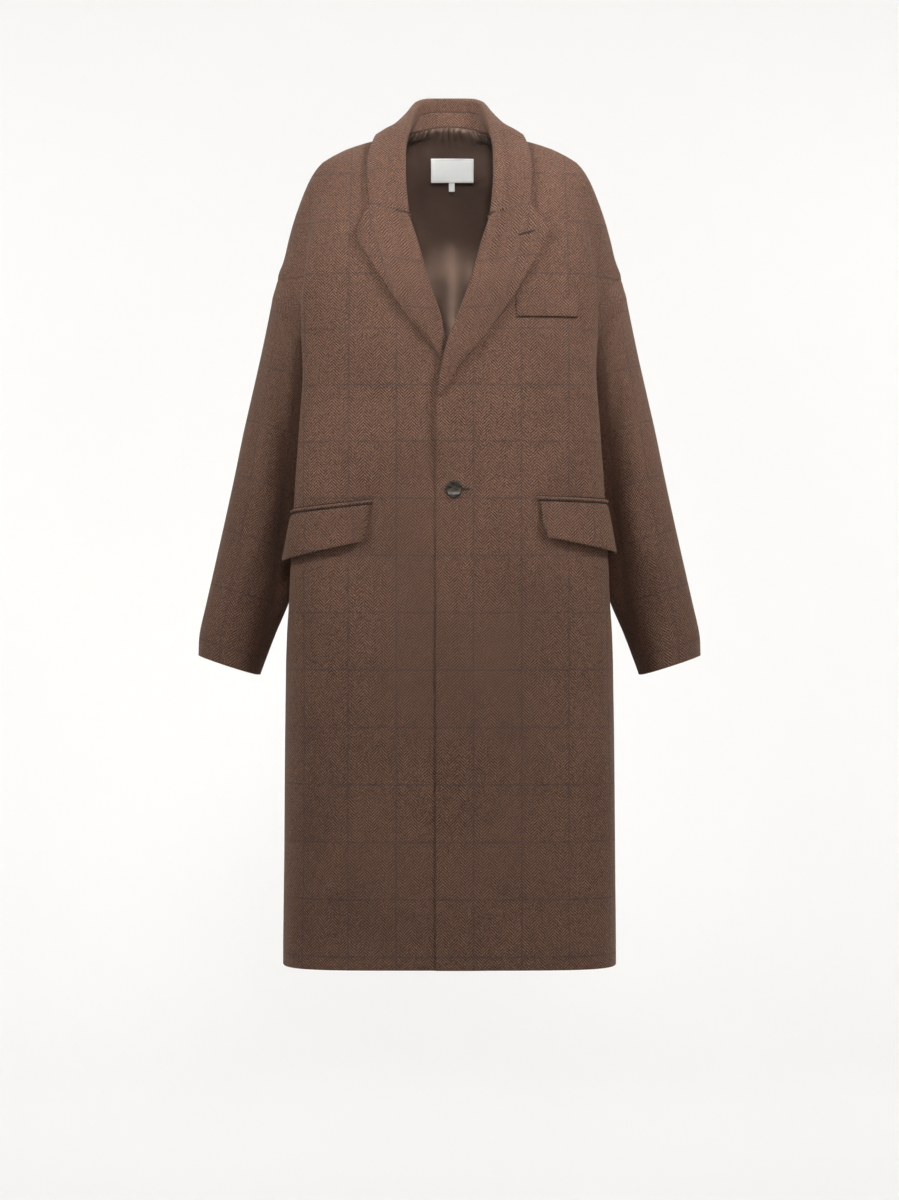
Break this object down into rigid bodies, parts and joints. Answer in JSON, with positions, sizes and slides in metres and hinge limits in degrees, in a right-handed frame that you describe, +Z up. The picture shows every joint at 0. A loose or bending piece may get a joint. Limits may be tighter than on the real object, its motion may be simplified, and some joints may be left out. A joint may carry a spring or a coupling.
{
  "type": "cocoon coat",
  "caption": "Long oversized single-breasted coat, filled out as if worn, with dropped shoulders, turned collar and lapels, flap pockets, a breast welt and a button.",
  "frame": {"origin": "between the shoulders, at the height where the coat rests on them", "axes": "+Z up, the front faces -Y, +X towards the wearer's left"},
  "size_m": [0.7, 0.3138, 1.2142],
  "materials": {
    "tweed": "brown wool herringbone",
    "satin": "smooth lining",
    "tape": "plain woven tape",
    "horn": "polished"
  },
  "bodies": {
    "root": {"front_left": "tweed", "front_right": "tweed", "back": "tweed", "sleeve_left": "tweed", "sleeve_right": "tweed", "collar": "tweed", "collar_stand": "tweed", "lapel_left": "tweed", "lapel_right": "tweed", "flap_left": "tweed", "flap_right": "tweed", "jet_left": "tweed", "jet_right": "tweed", "breast_welt": "tweed", "lining_back": "satin", "label": "tape", "size_tab": "tape", "button": "horn"}
  },
  "joints": []
}
